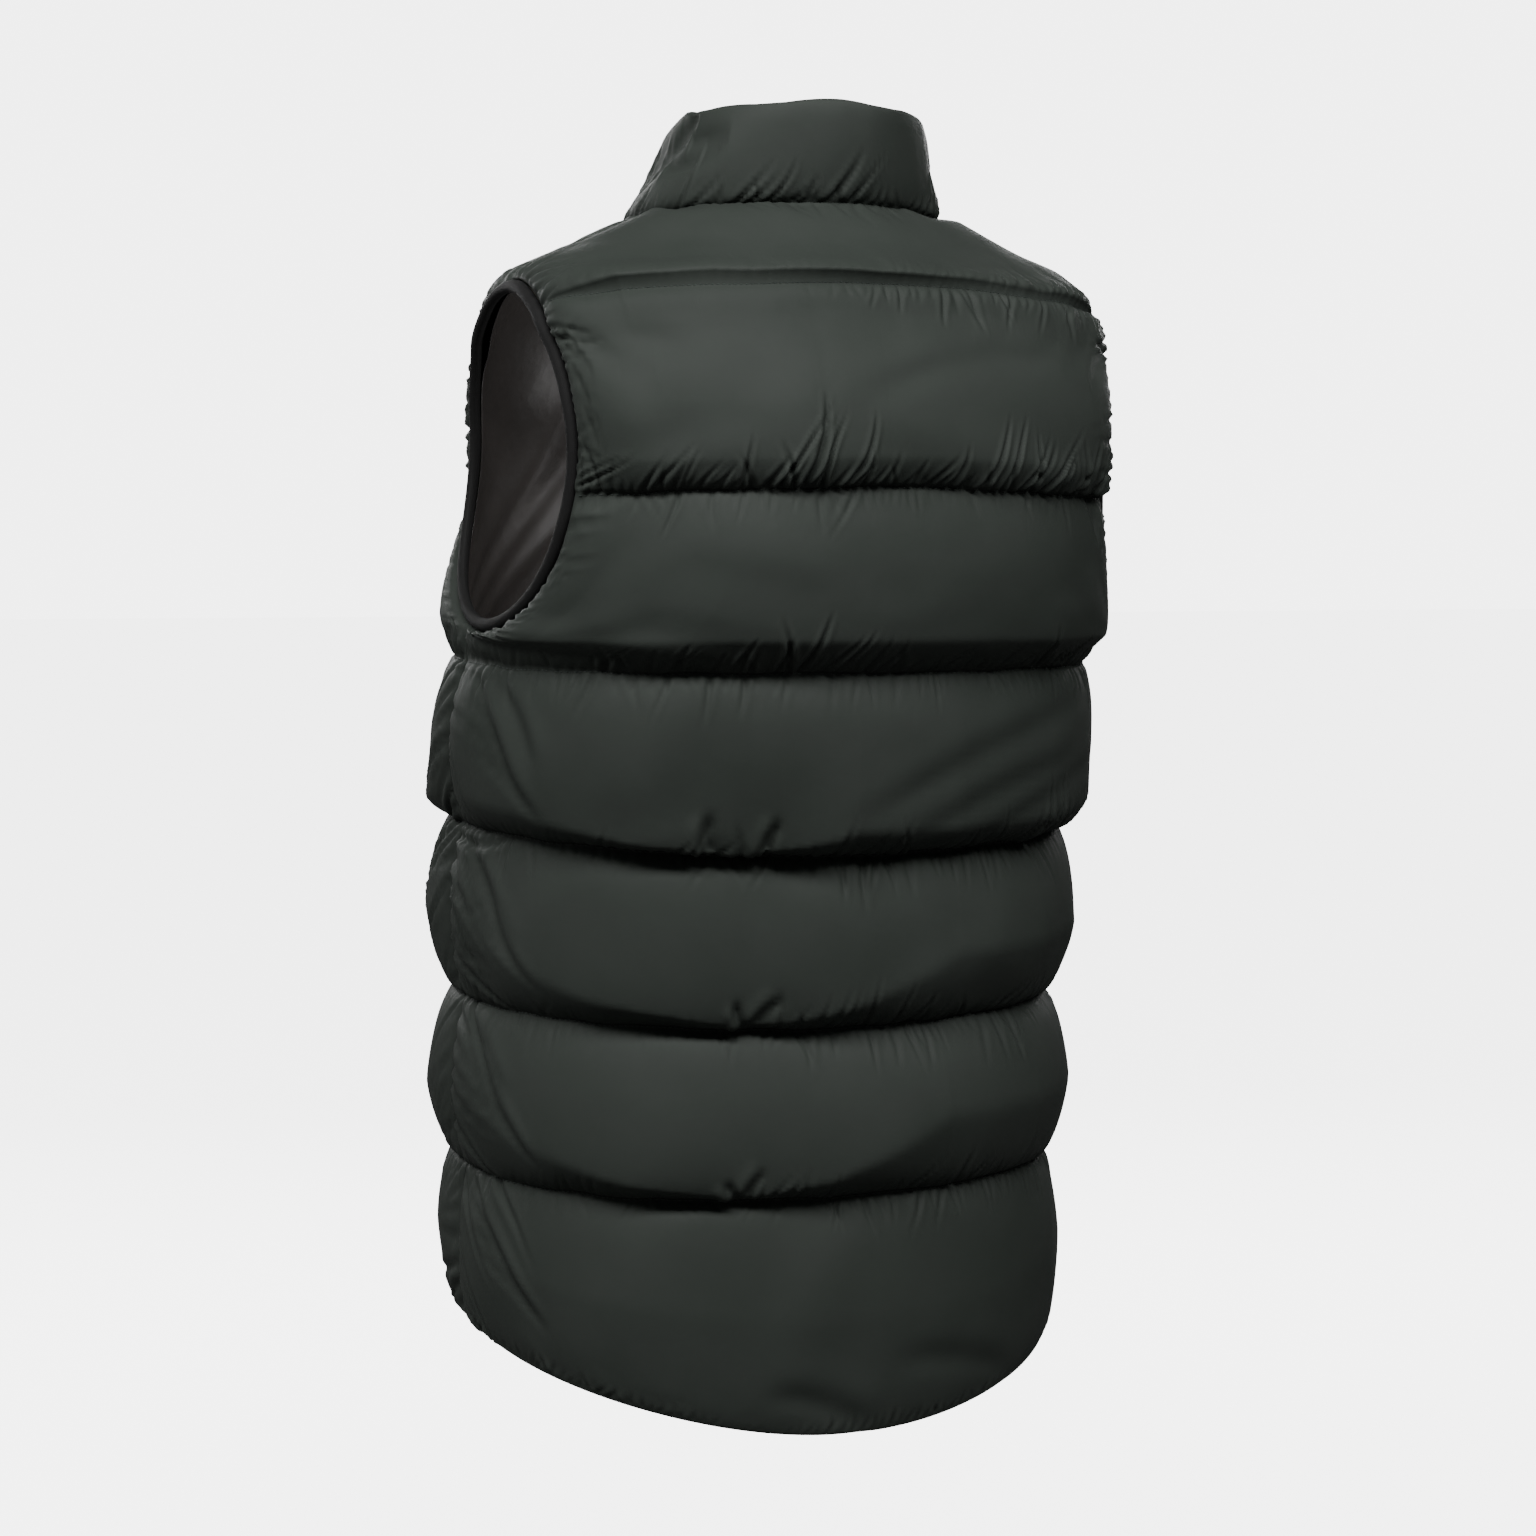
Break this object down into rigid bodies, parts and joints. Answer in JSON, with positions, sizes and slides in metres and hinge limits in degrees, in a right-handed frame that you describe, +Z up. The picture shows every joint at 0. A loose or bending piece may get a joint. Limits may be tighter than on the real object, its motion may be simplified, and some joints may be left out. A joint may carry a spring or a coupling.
{
  "type": "puffer vest",
  "caption": "Sleeveless quilted puffer vest with a padded stand collar, bound armholes and a dropped rounded tail, zipped up and standing hollow as if worn.",
  "frame": {"origin": "on the line through both shoulder seams, midway between them at the foot of the collar, where the shoulders carry the vest", "axes": "+Z up along the body, -Y to the wearer's front, +X to the wearer's left"},
  "size_m": [0.402, 0.383, 0.7644],
  "materials": {
    "nylon_shell": "satin woven nylon, very dark green",
    "nylon_lining": "smooth woven lining, brown black",
    "knit_binding": "matt stretch binding, black",
    "zip_tape": "matt woven tape, black",
    "zip_metal": "dark satin"
  },
  "bodies": {
    "vest": {"back": "nylon_shell", "front_left": "nylon_shell", "front_right": "nylon_shell", "collar": "nylon_shell", "armhole_binding_left": "knit_binding", "armhole_binding_right": "knit_binding", "lining_back": "nylon_lining", "lining_front_left": "nylon_lining", "lining_front_right": "nylon_lining", "zip_tape_left": "zip_tape", "zip_tape_right": "zip_tape", "zip_slider": "zip_metal"},
    "pull": {"zip_pull": "zip_metal"}
  },
  "joints": [
    {"name": "zip_pull_hinge", "type": "hinge", "parent": "vest", "child": "pull", "pos_m": [0, -0.11543, -0.01218], "axis": [-1, 0, 0], "range_deg": [0, 150]}
  ]
}
